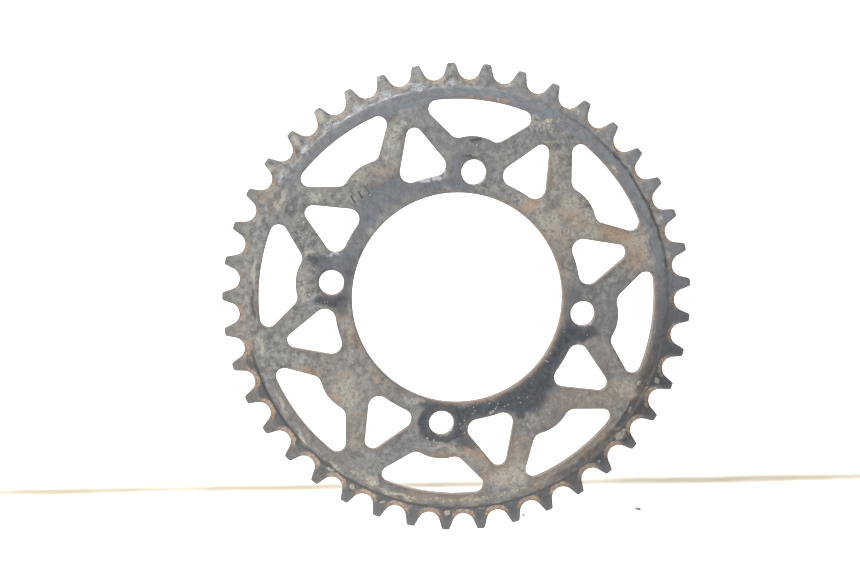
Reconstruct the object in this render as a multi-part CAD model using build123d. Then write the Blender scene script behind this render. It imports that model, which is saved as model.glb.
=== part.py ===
from build123d import *

import math
import os

# Rear chain sprocket of a small motorcycle: one piece of steel plate with a toothed rim, a raised
# body, eight outer windows, eight triangular windows, a register bore and four bolt holes.
# Millimetres. The wheel axis is Y, the outer face looks toward -Y and Z is up. The origin is on
# the axis, halfway through the plate. Angles run anticlockwise from +X, seen from the outer face.

# Chain and teeth
CHAIN_PITCH = 12.7
ROLLER_D = 7.77
TEETH = 41
TIP_R = 85.05  # teeth are turned short of their full height
TIP_CORNER_R = 0.45
SEAT_R = 4.12  # arc that a roller sits in
FLANK_ANGLE = 18.4  # flank to the middle line of its tooth

# Thicknesses, each shared equally by both faces
BODY_T = 5.6
TOOTH_T = 4.8
TIP_T = 3.6
STEP_IN_R = 75.9  # the body's face starts to fall here
STEP_OUT_R = 77.0  # and meets the thinner toothed rim here
RELIEF_START_R = 80.2  # tooth faces curve in toward the tip from here

# Bevel around each tooth gap: a shallow cone a little nearer the wheel axis than the roller seat
BEVEL_AXIS_R = 81.95
BEVEL_FACE_R = 4.65
BEVEL_SLOPE = 22.0

# Hub fit
BORE_D = 76.4
BORE_CHAMFER = 0.4
BOLT_CIRCLE_D = 92.0
BOLT_HOLE_D = 9.0
BOLT_HOLE_CHAMFER = 0.4
BOLTS = 4

# Outer windows, drawn with the middle line upright
WINDOW_OUTER_R = 71.9
WINDOW_SIDE_FOOT = (10.3, 59.0)  # a point on the right side
WINDOW_SIDE_SLOPE = 37.3  # from level
WINDOW_LOBE_R = 15.0
WINDOW_LOBE_CENTRE = 43.98
WINDOW_OUTER_CORNER_R = 3.1
WINDOW_INNER_CORNER_R = 3.9
WINDOW_TURNS = (0.3, 0.0, 0.2, -0.4, -0.4, -0.5, -0.7, -1.2)  # degrees off even spacing, from the first

# Triangular windows, drawn with the middle line upright
TRIANGLE_INNER_R = 44.8
TRIANGLE_APEX = 67.7
TRIANGLE_HALF_ANGLE = 24.8
TRIANGLE_APEX_CORNER_R = 2.97
TRIANGLE_INNER_CORNER_R = 3.9
TRIANGLE_TURNS = (-0.3, -0.8, -0.9, -0.7, -0.8, -1.3, 0.3, -0.3)

# Plain stamped strokes on the outer face
STAMP_DEPTH = 0.3
STAMP_RADIUS = 51.3
STAMP_ANGLE = 50.4  # on from the first bolt hole
STAMP_STROKE = (0.7, 3.4)
STAMP_SPACING = 3.1
STAMP_TILT = 30.0
STAMP_COUNT = 3

TOOTH_PITCH_ANGLE = 360 / TEETH
PITCH_R = CHAIN_PITCH / (2 * math.sin(math.pi / TEETH))
ROOT_R = PITCH_R - ROLLER_D / 2
FIRST_GAP_ANGLE = -90.0  # the sprocket stands on the two teeth beside its lowest gap
FIRST_BOLT_ANGLE = 90.0 - TOOTH_PITCH_ANGLE  # in line with a tooth
WINDOW_PITCH_ANGLE = 360 / len(WINDOW_TURNS)
FAR = 2 * TIP_R
FRONT = Plane.XZ  # local x is X, local y is Z, and its normal is -Y


def around(shape, count, first_angle):
    """Copies of a shape drawn about the +Y line, spread evenly round the origin."""
    return PolarLocations(0, count, start_angle=first_angle - 90) * shape


def placed(outline, first_angle, turns):
    """One copy of an upright window for each turn, each that far off its even place."""
    angles = [first_angle - 90 + k * WINDOW_PITCH_ANGLE + turn for k, turn in enumerate(turns)]
    return Sketch() + [Rot(0, 0, angle) * outline for angle in angles]


def through(sketch, depth=BODY_T + 2):
    """A front-plane sketch as a cutter that passes both faces."""
    return extrude(FRONT * sketch, depth / 2, both=True)


def corners_near(sketch, radius):
    """The sketch's sharp corners at a given distance from the origin."""
    return [v for v in sketch.vertices() if abs(math.hypot(v.X, v.Y) - radius) < 0.05]


def gap_outline():
    """One tooth gap: a roller seat arc that runs out into two straight flanks."""
    seat_centre = ROOT_R + SEAT_R
    flank = math.radians(FLANK_ANGLE + TOOTH_PITCH_ANGLE / 2)
    seat_end = Vector(SEAT_R * math.cos(flank), seat_centre - SEAT_R * math.sin(flank))
    reach = 8.0
    flank_end = seat_end + Vector(math.sin(flank), math.cos(flank)) * reach
    outline = [
        Line((-flank_end.X, flank_end.Y), (-seat_end.X, seat_end.Y)),
        ThreePointArc((-seat_end.X, seat_end.Y), (0, ROOT_R), (seat_end.X, seat_end.Y)),
        Line((seat_end.X, seat_end.Y), (flank_end.X, flank_end.Y)),
        Line((flank_end.X, flank_end.Y), (-flank_end.X, flank_end.Y)),
    ]
    return make_face(Curve() + outline)


def toothed_outline():
    """The outer edge: a disc less its tooth gaps, with the tip corners rounded."""
    disc = Circle(TIP_R) - around(gap_outline(), TEETH, FIRST_GAP_ANGLE)
    return fillet(corners_near(disc, TIP_R), TIP_CORNER_R)


def blank():
    """The turned blank: thick body, sloped step, toothed rim that thins toward the tips."""
    bore_r = BORE_D / 2
    half = [
        Line((bore_r, 0), (bore_r, BODY_T / 2 - BORE_CHAMFER)),
        Line((bore_r, BODY_T / 2 - BORE_CHAMFER), (bore_r + BORE_CHAMFER, BODY_T / 2)),
        Line((bore_r + BORE_CHAMFER, BODY_T / 2), (STEP_IN_R, BODY_T / 2)),
        Line((STEP_IN_R, BODY_T / 2), (STEP_OUT_R, TOOTH_T / 2)),
        Line((STEP_OUT_R, TOOTH_T / 2), (RELIEF_START_R, TOOTH_T / 2)),
        TangentArc((RELIEF_START_R, TOOTH_T / 2), (TIP_R, TIP_T / 2), tangent=(1, 0)),
        Line((TIP_R, TIP_T / 2), (TIP_R, 0)),
        Line((TIP_R, 0), (bore_r, 0)),
    ]
    section = make_face(Curve() + half)
    return revolve(section + mirror(section, about=Plane.XZ), Axis.Y, 360)


def gap_bevels():
    """Shallow cones that bevel both edges of every tooth gap."""
    rise = 1.0
    drop = 0.7
    run = 1 / math.tan(math.radians(BEVEL_SLOPE))
    cone = Cone(BEVEL_FACE_R - drop * run, BEVEL_FACE_R + rise * run, rise + drop)
    front_cone = FRONT * Pos(0, BEVEL_AXIS_R, TOOTH_T / 2 + (rise - drop) / 2) * cone
    pair = [front_cone, mirror(front_cone, about=Plane.XZ)]
    spots = [Rot(0, -k * TOOTH_PITCH_ANGLE - FIRST_GAP_ANGLE + 90, 0) for k in range(TEETH)]
    return [spot * each for spot in spots for each in pair]


def window_outline():
    """An outer window: concentric outer edge, two slanted sides, a lobe on the inner edge."""
    slope = math.radians(WINDOW_SIDE_SLOPE)
    along = Vector(math.cos(slope), math.sin(slope))
    foot = Vector(*WINDOW_SIDE_FOOT)
    low, high = foot - along * 20, foot + along * 30
    sides = [(-high.X, high.Y), (-low.X, low.Y), (low.X, low.Y), (high.X, high.Y)]
    wedge = make_face(Polyline(*sides, close=True))
    window = (wedge & Circle(WINDOW_OUTER_R)) - Pos(0, WINDOW_LOBE_CENTRE) * Circle(WINDOW_LOBE_R)
    window = window.faces().sort_by(Axis.Y)[-1]
    outer = corners_near(window, WINDOW_OUTER_R)
    window = fillet(outer, WINDOW_OUTER_CORNER_R)
    inner = [v for v in window.vertices() if abs(v.Y - WINDOW_LOBE_CENTRE) < WINDOW_LOBE_R]
    return fillet(inner, WINDOW_INNER_CORNER_R)


def triangle_outline():
    """A triangular window: apex outward, inner edge concentric with the bore."""
    spread = TRIANGLE_APEX * math.tan(math.radians(TRIANGLE_HALF_ANGLE))
    wedge = make_face(Polyline((0, TRIANGLE_APEX), (-spread, 0), (spread, 0), close=True))
    triangle = wedge - Circle(TRIANGLE_INNER_R)
    by_height = triangle.vertices().sort_by(Axis.Y)
    triangle = fillet(by_height[-1:], TRIANGLE_APEX_CORNER_R)
    return fillet(corners_near(triangle, TRIANGLE_INNER_R), TRIANGLE_INNER_CORNER_R)


def bolt_hole():
    """One bolt hole at the top of the bolt circle, with a small chamfer at both faces."""
    hole_r = BOLT_HOLE_D / 2
    half = [
        Line((0, 0), (hole_r, 0)),
        Line((hole_r, 0), (hole_r, BODY_T / 2 - BOLT_HOLE_CHAMFER)),
        Line((hole_r, BODY_T / 2 - BOLT_HOLE_CHAMFER), (hole_r + 1, BODY_T / 2 + 1 - BOLT_HOLE_CHAMFER)),
        Line((hole_r + 1, BODY_T / 2 + 1 - BOLT_HOLE_CHAMFER), (0, BODY_T / 2 + 1 - BOLT_HOLE_CHAMFER)),
        Line((0, BODY_T / 2 + 1 - BOLT_HOLE_CHAMFER), (0, 0)),
    ]
    section = make_face(Curve() + half)
    hole = revolve(section + mirror(section, about=Plane.XZ), Axis.Y, 360)
    return Pos(0, 0, BOLT_CIRCLE_D / 2) * hole


def stamp():
    """Three short strokes in a row, pressed into the outer face."""
    row = Sketch() + GridLocations(STAMP_SPACING, 0, STAMP_COUNT, 1) * Rectangle(*STAMP_STROKE)
    angle = math.radians(FIRST_BOLT_ANGLE + STAMP_ANGLE)
    place = Pos(STAMP_RADIUS * math.cos(angle), STAMP_RADIUS * math.sin(angle)) * Rot(0, 0, STAMP_TILT)
    surface = FRONT.offset(BODY_T / 2 - STAMP_DEPTH)
    return extrude(surface * place * row, STAMP_DEPTH + 1)


def sprocket_plate():
    """The whole sprocket: the blank trimmed to its toothed outline and pierced."""
    plate = blank() & through(toothed_outline())
    plate -= gap_bevels()
    plate -= through(placed(window_outline(), FIRST_BOLT_ANGLE, WINDOW_TURNS))
    plate -= through(placed(triangle_outline(), FIRST_BOLT_ANGLE + WINDOW_PITCH_ANGLE / 2, TRIANGLE_TURNS))
    bolt_spots = [Rot(0, -k * 360 / BOLTS - FIRST_BOLT_ANGLE + 90, 0) for k in range(BOLTS)]
    plate -= [spot * bolt_hole() for spot in bolt_spots]
    plate -= stamp()
    return plate.solid()


os.makedirs("parts", exist_ok=True)
plate = sprocket_plate()
plate.label = "sprocket_plate"
export_step(plate, "parts/sprocket_plate.step")
size = plate.bounding_box().size
print(f"sprocket_plate {plate.volume:.0f} mm3, {size.X:.2f} x {size.Y:.2f} x {size.Z:.2f} mm, valid {plate.is_valid}")
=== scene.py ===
import math

import bpy
import numpy as np
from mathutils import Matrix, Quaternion, Vector, kdtree, noise
from mathutils.geometry import delaunay_2d_cdt


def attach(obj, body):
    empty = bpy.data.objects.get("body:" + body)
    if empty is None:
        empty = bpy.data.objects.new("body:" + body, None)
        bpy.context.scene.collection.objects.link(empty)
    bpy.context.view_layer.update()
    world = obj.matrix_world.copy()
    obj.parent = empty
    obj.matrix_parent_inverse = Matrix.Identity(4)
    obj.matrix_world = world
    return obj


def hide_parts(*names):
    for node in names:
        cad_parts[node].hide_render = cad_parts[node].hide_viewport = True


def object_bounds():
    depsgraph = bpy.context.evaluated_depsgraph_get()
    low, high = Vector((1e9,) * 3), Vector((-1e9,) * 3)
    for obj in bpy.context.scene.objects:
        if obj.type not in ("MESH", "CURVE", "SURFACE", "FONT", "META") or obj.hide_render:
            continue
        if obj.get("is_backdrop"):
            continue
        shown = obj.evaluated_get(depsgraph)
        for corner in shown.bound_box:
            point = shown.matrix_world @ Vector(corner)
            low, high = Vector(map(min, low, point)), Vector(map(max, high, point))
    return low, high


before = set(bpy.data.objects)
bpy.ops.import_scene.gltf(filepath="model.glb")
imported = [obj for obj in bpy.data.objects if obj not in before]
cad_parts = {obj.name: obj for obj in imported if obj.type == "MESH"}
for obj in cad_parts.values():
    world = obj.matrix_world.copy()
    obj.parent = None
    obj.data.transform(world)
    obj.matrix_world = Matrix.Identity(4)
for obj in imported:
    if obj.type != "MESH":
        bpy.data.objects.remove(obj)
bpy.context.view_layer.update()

# A worn rear sprocket. Shapes are worked out in millimetres on the plate's own plane, as complex
# numbers x + iz, and become metres only when a mesh is made. Angles run anticlockwise from +X,
# seen from the outer face, which looks toward -Y.
MM = 0.001

# The CAD part's driving dimensions
CHAIN_PITCH = 12.7
ROLLER_D = 7.77
TEETH = 41
TIP_R = 85.05
TIP_CORNER_R = 0.45
SEAT_R = 4.12
FLANK_ANGLE = 18.4
BODY_HALF = 2.8
TOOTH_HALF = 2.4
TIP_HALF = 1.8
STEP_IN_R, STEP_OUT_R = 75.9, 77.0
RELIEF_START_R = 80.2
BEVEL_AXIS_R, BEVEL_FACE_R, BEVEL_SLOPE = 81.95, 4.65, 22.0
BORE_R = 38.2
BOLT_CIRCLE_R = 46.0
BOLT_HOLE_R = 4.5
CHAMFER = 0.4
WINDOW_OUTER_R = 71.9
WINDOW_SIDE_FOOT = 10.3 + 59.0j
WINDOW_SIDE_SLOPE = 37.3
WINDOW_LOBE_R, WINDOW_LOBE_CENTRE = 15.0, 43.98j
WINDOW_OUTER_CORNER_R, WINDOW_INNER_CORNER_R = 3.1, 3.9
WINDOW_TURNS = (0.3, 0.0, 0.2, -0.4, -0.4, -0.5, -0.7, -1.2)
TRIANGLE_INNER_R = 44.8
TRIANGLE_APEX = 67.7j
TRIANGLE_HALF_ANGLE = 24.8
TRIANGLE_APEX_CORNER_R, TRIANGLE_INNER_CORNER_R = 2.97, 3.9
TRIANGLE_TURNS = (-0.3, -0.8, -0.9, -0.7, -0.8, -1.3, 0.3, -0.3)
STAMP_R, STAMP_TURN, STAMP_TILT = 51.3, 50.4, 30.0
STAMP_WIDTH, STAMP_LENGTH, STAMP_SPACING, STAMP_DEPTH = 0.7, 3.4, 3.1, 0.3

# Wear of the shape: how far in and how steeply cut edges are rolled over, how far from the round holes
# that stops, how deep faces are worn, and how soft the pressed strokes are
ROLL_RUN, ROLL_SHARE, ROLL_FROM_HOLES = 0.42, 0.62, 0.6
BROAD_WEAR, FINE_WEAR = 0.05, 0.025
STAMP_SOFTNESS = 0.16

# Spacing of the mesh's points: along arcs and edges, in the grids, and in degrees along step and bevels
ARC_STEP, DENSE_STEP, CIRCLE_TURN = 0.1, 0.12, 0.25
TOOTH_STEP, BOLT_HOLE_STEP, WINDOW_STEP = 0.5, 0.6, 0.7
STROKE_STEP, LUMP_STEP, GRID_STEP = 0.3, 0.33, 0.8
STEP_TURN, BEVEL_TURN = 0.45, 5.5
EDGE_RING_DEPTHS = (0.16, 0.45)
WALL_ROWS, SHARP_ANGLE = 6, 35

# Noise on the rim is drawn out round the axis; where that starts and is full, and the radius it suits
STREAKS_START_R, STREAKS_FULL_R, STREAKED_R = 70.5, 73.0, 80.0

# The patch of fine points round the strokes, and how far sets of points keep from each other
FINE_ROW_REACH, FINE_ROW_HALF_LENGTH, FINE_ROW_HALF_WIDTH = 8, 4.2, 2.4
FEATURE_FROM_FINE, FEATURE_FROM_EDGE = 0.3, 0.5
GRID_FROM_FEATURE, GRID_FROM_EDGE = 0.45, 0.75

# The backdrop: a wall far behind the plate, a floor, and a faint beige line across the floor
WALL_Y, WALL_HALF_WIDTH, WALL_HEIGHT = 1100, 1600, 1900
FLOOR_FRONT_Y, FLOOR_FRONT_HALF_WIDTH = -125, 400
LINE_Y, LINE_SLOPE, LINE_HALF_WIDTH = 94.15, -0.0927, 19
CRUMB_LIFT = 0.2

# Where the photo was taken from, and how the camera was turned, tilted and rolled there
CAMERA_PLACE = (-49.86, -830.13, 76.82)
CAMERA_TURN, CAMERA_TILT, CAMERA_ROLL = 2.762, -4.982, -1.517
CAMERA_LENS, CAMERA_SENSOR = 96.28, 36

# The one lamp, in metres and watts, and the room's light
LAMP_PLACE, LAMP_SIZE, LAMP_ENERGY = (-0.22, -0.36, 0.5), 0.26, 5.0
ROOM_COLOUR, ROOM_STRENGTH = (0.94, 0.97, 1, 1), 0.3

TOOTH_TURN = 360 / TEETH
ROOT_R = CHAIN_PITCH / (2 * math.sin(math.pi / TEETH)) - ROLLER_D / 2
FIRST_GAP = -90.0
FIRST_BOLT = 90.0 - TOOTH_TURN

# Caked dirt standing up from the toothed rim: x, z, half length, half width, direction, height
LUMPS = [
    (58.2, -52.0, 2.4, 1.5, 25, 0.36),
    (59.6, -50.2, 0.9, 0.8, 60, 0.30),
    (72.0, -32.4, 1.0, 1.3, 10, 0.34),
    (33.2, -71.9, 1.0, 0.7, 0, 0.30),
    (50.2, -61.2, 0.9, 0.6, 30, 0.26),
    (7.0, -76.9, 1.8, 0.5, 10, 0.24),
    (-5.9, -78.4, 1.4, 1.2, 40, 0.30),
    (-29.4, -73.6, 1.5, 0.6, 10, 0.26),
    (-40.2, -67.6, 1.3, 1.0, 120, 0.34),
    (-47.8, -60.9, 1.9, 0.8, -30, 0.26),
    (74.5, 27.0, 1.3, 1.0, 20, 0.28),
    (-66.6, 47.6, 1.2, 0.8, 0, 0.26),
    (18.8, 76.0, 1.7, 0.4, -12, 0.22),
    (-43.8, 65.2, 1.6, 0.7, 35, 0.22),
]

# Crumbs of dirt on the floor: x, y, half length, half width, shade
CRUMBS = [(24, 21, 0.8, 2.0, 150), (68, 25, 1.2, 3.0, 150), (38, 61, 1.3, 2.0, 70)]


def turn(degrees):
    """A unit step in a direction."""
    return np.exp(1j * np.radians(degrees))


def bearing(point):
    """A point's angle in degrees."""
    return math.degrees(np.angle(point))


def smooth(value, low, high):
    """0 below low, 1 above high, and a soft ramp between. Works downhill too."""
    t = np.clip((value - low) / (high - low), 0, 1)
    return t * t * (3 - 2 * t)


# ---- outlines ----


def arc(centre, radius, start, end):
    """Close-set points along an arc, from one angle to another."""
    count = 2 + int(abs(math.radians(end - start)) * radius / ARC_STEP)
    return centre + radius * turn(np.linspace(start, end, count))


def line_meets_circle(point, direction, centre, radius):
    """Where a line last crosses a circle, going along the direction."""
    offset = centre - point
    along = (offset * np.conj(direction)).real
    return point + direction * (along + math.sqrt(radius**2 - abs(offset) ** 2 + along**2))


def mirrored(right_half):
    """The whole of an outline that is drawn as its right half, about the upright line."""
    return np.concatenate([right_half, -np.conj(right_half[::-1])])


def evenly(points, step):
    """A closed outline with its points respaced evenly."""
    ring = np.append(points, points[0])
    travelled = np.concatenate([[0], np.cumsum(abs(np.diff(ring)))])
    stops = np.linspace(0, travelled[-1], round(travelled[-1] / step), endpoint=False)
    return np.interp(stops, travelled, ring.real) + 1j * np.interp(stops, travelled, ring.imag)


def window_outline():
    """An outer window with its middle line upright."""
    along = turn(WINDOW_SIDE_SLOPE)
    inward = along * 1j
    outer_r, inner_r = WINDOW_OUTER_CORNER_R, WINDOW_INNER_CORNER_R
    outer = line_meets_circle(WINDOW_SIDE_FOOT + inward * outer_r, along, 0, WINDOW_OUTER_R - outer_r)
    inner_foot = WINDOW_SIDE_FOOT + inward * inner_r
    inner = line_meets_circle(inner_foot, along, WINDOW_LOBE_CENTRE, WINDOW_LOBE_R + inner_r)
    lobe_end = bearing(inner - WINDOW_LOBE_CENTRE)
    side_facing = WINDOW_SIDE_SLOPE - 90
    half = [
        arc(WINDOW_LOBE_CENTRE, WINDOW_LOBE_R, 90, lobe_end),
        arc(inner, inner_r, lobe_end - 180, side_facing),
        arc(outer, outer_r, side_facing, bearing(outer)),
        arc(0, WINDOW_OUTER_R, bearing(outer), 90),
    ]
    return mirrored(np.concatenate(half))


def triangle_outline():
    """A triangular window with its middle line upright."""
    along = turn(90 + TRIANGLE_HALF_ANGLE)
    inward = along * 1j
    corner_r = TRIANGLE_INNER_CORNER_R
    corner = line_meets_circle(TRIANGLE_APEX + inward * corner_r, along, 0, TRIANGLE_INNER_R + corner_r)
    apex = TRIANGLE_APEX - 1j * TRIANGLE_APEX_CORNER_R / math.sin(math.radians(TRIANGLE_HALF_ANGLE))
    half = [
        arc(0, TRIANGLE_INNER_R, 90, bearing(corner)),
        arc(corner, corner_r, bearing(corner) - 180, TRIANGLE_HALF_ANGLE),
        arc(apex, TRIANGLE_APEX_CORNER_R, TRIANGLE_HALF_ANGLE, 90),
    ]
    return mirrored(np.concatenate(half))


def toothed_outline():
    """The rim: one roller seat, two flanks and a half tip on each side, for each tooth gap."""
    flank = FLANK_ANGLE + TOOTH_TURN / 2
    along = turn(90 - flank)
    metal_side = -1j * along
    seat = 1j * (ROOT_R + SEAT_R)
    flank_start = seat + SEAT_R * turn(-flank)
    tip = line_meets_circle(flank_start + metal_side * TIP_CORNER_R, along, 0, TIP_R - TIP_CORNER_R)
    half = [
        arc(seat, SEAT_R, -90, -flank),
        arc(tip, TIP_CORNER_R, 180 - flank, bearing(tip)),
        arc(0, TIP_R, bearing(tip), 90 - TOOTH_TURN / 2),
    ]
    right = np.concatenate(half)
    gap = np.concatenate([-np.conj(right[::-1]), right])
    return np.concatenate([gap * turn(FIRST_GAP - 90 - k * TOOTH_TURN) for k in range(TEETH)])


def bolt_centres():
    """The middles of the four bolt holes."""
    return BOLT_CIRCLE_R * turn(FIRST_BOLT + 90 * np.arange(4))


def outlines():
    """Every edge of the plate as a closed run of points, with the metal on its left."""
    circle = turn(np.arange(0, 360, CIRCLE_TURN))
    window, triangle = evenly(window_outline(), WINDOW_STEP), evenly(triangle_outline(), WINDOW_STEP)
    holes = [evenly(BORE_R * circle, WINDOW_STEP)]
    holes += [window * turn(FIRST_BOLT - 90 + 45 * k + t) for k, t in enumerate(WINDOW_TURNS)]
    holes += [triangle * turn(FIRST_BOLT - 67.5 + 45 * k + t) for k, t in enumerate(TRIANGLE_TURNS)]
    holes += [evenly(centre + BOLT_HOLE_R * circle, BOLT_HOLE_STEP) for centre in bolt_centres()]
    rim = evenly(toothed_outline(), TOOTH_STEP)
    loops = []
    for points, is_hole in [(rim, False)] + [(hole, True) for hole in holes]:
        anticlockwise = (np.conj(points) * np.roll(points, -1)).imag.sum() > 0
        loops.append(points[::-1] if anticlockwise == is_hole else points)
    return loops


# ---- the face's triangles ----


class Nearest:
    """Distances to the nearest of many points."""

    def __init__(self, points):
        self.tree = kdtree.KDTree(len(points))
        for i, p in enumerate(points):
            self.tree.insert((p.real, p.imag, 0), i)
        self.tree.balance()

    def distance(self, points):
        """How far each point is from the nearest of them."""
        return np.array([self.tree.find((p.real, p.imag, 0))[2] for p in points])


def inside(points, loops):
    """Which points are in metal: an odd number of edge crossings on the way to the right."""
    odd = np.zeros(len(points), bool)
    batch = 4000
    for loop in loops:
        after = np.roll(loop, -1)
        for start in range(0, len(points), batch):
            part = points[start : start + batch, None]
            spans = (loop.imag > part.imag) != (after.imag > part.imag)
            with np.errstate(divide="ignore", invalid="ignore"):
                share = (part.imag - loop.imag) / (after.imag - loop.imag)
                cross = loop.real + share * (after.real - loop.real)
            odd[start : start + batch] ^= (spans & (part.real < cross)).sum(1) % 2 == 1
    return odd


def honeycomb(centre, reach, step):
    """A triangular grid of points that fills a square."""
    columns, rows = np.arange(-reach, reach, step), np.arange(-reach, reach, step * math.sqrt(3) / 2)
    x, z = np.meshgrid(columns, rows)
    x[::2] += step / 2
    return (centre + x + 1j * z).ravel()


def stamp_local(points):
    """Points as seen from the middle of the stamped row, turned along it."""
    centre = STAMP_R * turn(FIRST_BOLT + STAMP_TURN)
    return (points - centre) * turn(-STAMP_TILT)


def spot_distance(points, x, z, long, wide, direction):
    """How far out points are on a spot, with 1 at its edge."""
    local = (points - (x + 1j * z)) * turn(-direction)
    return np.hypot(local.real / long, local.imag / wide)


def fine_points():
    """Close-set points where the stamped strokes and the caked dirt need them."""
    centre = STAMP_R * turn(FIRST_BOLT + STAMP_TURN)
    row = honeycomb(centre, FINE_ROW_REACH, STROKE_STEP)
    local = stamp_local(row)
    kept = [row[(abs(local.real) < FINE_ROW_HALF_LENGTH) & (abs(local.imag) < FINE_ROW_HALF_WIDTH)]]
    for x, z, long, wide, direction, _ in LUMPS:
        spot = honeycomb(x + 1j * z, long * 1.6 + 1, LUMP_STEP)
        kept.append(spot[spot_distance(spot, x, z, long, wide, direction) < 1.5])
    return np.concatenate(kept)


def face_points(loops):
    """The points of the face, on the outlines first and then inside them, and a gauge of edge distance."""
    edge = np.concatenate(loops)
    dense = Nearest(np.concatenate([evenly(points, DENSE_STEP) for points in loops]))
    kept = [edge]
    along = np.concatenate([np.roll(points, -1) - np.roll(points, 1) for points in loops])
    for depth in EDGE_RING_DEPTHS:
        ring = edge + 1j * along / abs(along) * depth
        kept.append(ring[dense.distance(ring) > depth * 0.85])
    all_round, half_round = np.arange(0, 360, STEP_TURN), np.arange(90, 271, BEVEL_TURN)
    features = [radius * turn(all_round) for radius in np.linspace(STEP_IN_R, STEP_OUT_R, 5)]
    for k in range(TEETH):
        middle = FIRST_GAP + k * TOOTH_TURN
        features.append(BEVEL_AXIS_R * turn(middle) + BEVEL_FACE_R * turn(middle + half_round))
    features = np.concatenate(features)
    fine = fine_points()
    features = features[Nearest(fine).distance(features) > FEATURE_FROM_FINE]
    features = np.concatenate([features, fine])
    features = features[inside(features, loops)]
    features = features[dense.distance(features) > FEATURE_FROM_EDGE]
    kept.append(features)
    grid = honeycomb(0, TIP_R, GRID_STEP)
    grid = grid[(abs(grid) < TIP_R) & (abs(grid) > BORE_R)]
    grid = grid[inside(grid, loops)]
    grid = grid[dense.distance(grid) > GRID_FROM_EDGE]
    kept.append(grid[Nearest(features).distance(grid) > GRID_FROM_FEATURE])
    return np.concatenate(kept), dense


def triangulate(points, loops):
    """Triangles that fill the metal between the outlines."""
    edges = []
    first = 0
    for loop in loops:
        size = len(loop)
        edges += [(first + i, first + (i + 1) % size) for i in range(size)]
        first += size
    flat = [Vector((p.real, p.imag)) for p in points]
    coords, _, faces, source, _, _ = delaunay_2d_cdt(flat, edges, [], 0, 1e-6, True)
    if len(coords) != len(points):
        raise ValueError("the triangulation changed its points")
    order = np.array([s[0] for s in source])
    triangles = order[np.array(faces)]
    return triangles[inside(points[triangles].mean(1), loops)]


# ---- heights ----


def wander(points, size, seed, octaves=3):
    """Smooth noise over the plane, about -1 to 1, with lumps of that size."""
    places = [Vector((p.real / size, p.imag / size, seed * 7.3)) for p in points]
    return np.array([noise.fractal(v, 0.9, 2.1, octaves, noise_basis="PERLIN_ORIGINAL") for v in places])


def from_gap_axis(points):
    """Distance to the axis of the nearest tooth gap's bevel."""
    number = np.round((np.degrees(np.angle(points)) - FIRST_GAP) / TOOTH_TURN)
    return abs(points - BEVEL_AXIS_R * turn(FIRST_GAP + number * TOOTH_TURN))


def turned_level(radius):
    """Half thickness of the turned blank."""
    step = BODY_HALF - (BODY_HALF - TOOTH_HALF) * smooth(radius, STEP_IN_R, STEP_OUT_R)
    run, drop = TIP_R - RELIEF_START_R, TOOTH_HALF - TIP_HALF
    relief_r = (run**2 + drop**2) / (2 * drop)
    past = np.clip(radius - RELIEF_START_R, 0, run)
    return step - (relief_r - np.sqrt(relief_r**2 - past**2))


def metal_level(points, edge_distance):
    """Half thickness with the gap bevels, the chamfered round holes and the rolled cut edges."""
    radius = abs(points)
    level = turned_level(radius)
    axis_distance = from_gap_axis(points)
    bevel = TOOTH_HALF - (BEVEL_FACE_R - axis_distance) * math.tan(math.radians(BEVEL_SLOPE))
    level = np.where((radius > STEP_OUT_R) & (axis_distance < BEVEL_FACE_R), np.minimum(level, bevel), level)
    in_hole = [radius - BORE_R] + [abs(points - centre) - BOLT_HOLE_R for centre in bolt_centres()]
    chamfer = BODY_HALF - CHAMFER + np.min(in_hole, axis=0)
    into = np.clip(ROLL_RUN - edge_distance, 0, ROLL_RUN)
    rolled = level - ROLL_SHARE * (ROLL_RUN - np.sqrt(ROLL_RUN**2 - into**2))
    return np.where(np.min(in_hole, axis=0) < ROLL_FROM_HOLES, np.minimum(level, chamfer), rolled)


def stamped(points):
    """How deep the three plain strokes are pressed."""
    local = stamp_local(points)
    across = abs((local.real + STAMP_SPACING * 1.5) % STAMP_SPACING - STAMP_SPACING / 2)
    across = np.where(abs(local.real) < STAMP_SPACING * 1.5, across, STAMP_SPACING * 3)
    out = np.maximum(across - STAMP_WIDTH / 2, abs(local.imag) - STAMP_LENGTH / 2)
    return STAMP_DEPTH * smooth(out, STAMP_SOFTNESS, -STAMP_SOFTNESS)


def caked(points):
    """How high the lumps of dirt stand."""
    height = np.zeros(len(points))
    crumbly = wander(points, 0.9, 3)
    for x, z, long, wide, direction, high in LUMPS:
        out = spot_distance(points, x, z, long, wide, direction) + 0.35 * crumbly
        height = np.maximum(height, high * np.sqrt(smooth(out, 1.15, 0.35)))
    return height * (0.85 + 0.3 * crumbly)


def worn_away(points, seed):
    """How deep a face is worn, broadly and finely."""
    broad, fine = wander(points, 5.0, seed), wander(points, 1.7, seed + 1)
    return BROAD_WEAR * smooth(broad, -0.6, 0.9) + FINE_WEAR * smooth(fine, -0.2, 0.8)


# ---- wear, dirt, and painted light and shade, as masks from 0 to 1 over the face ----

# The dark ring round each bolt hole: width, strength
BOLT_RINGS = [(0.8, 0.3), (1.3, 0.55), (2.8, 1.1), (0.8, 0.4)]
# The back's wear and painted light are the front's, turned over and then turned by this much
BACK_TURN = 150
# Windows rust at their edges inside this radius
WINDOW_RUST_R = 76.0

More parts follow.
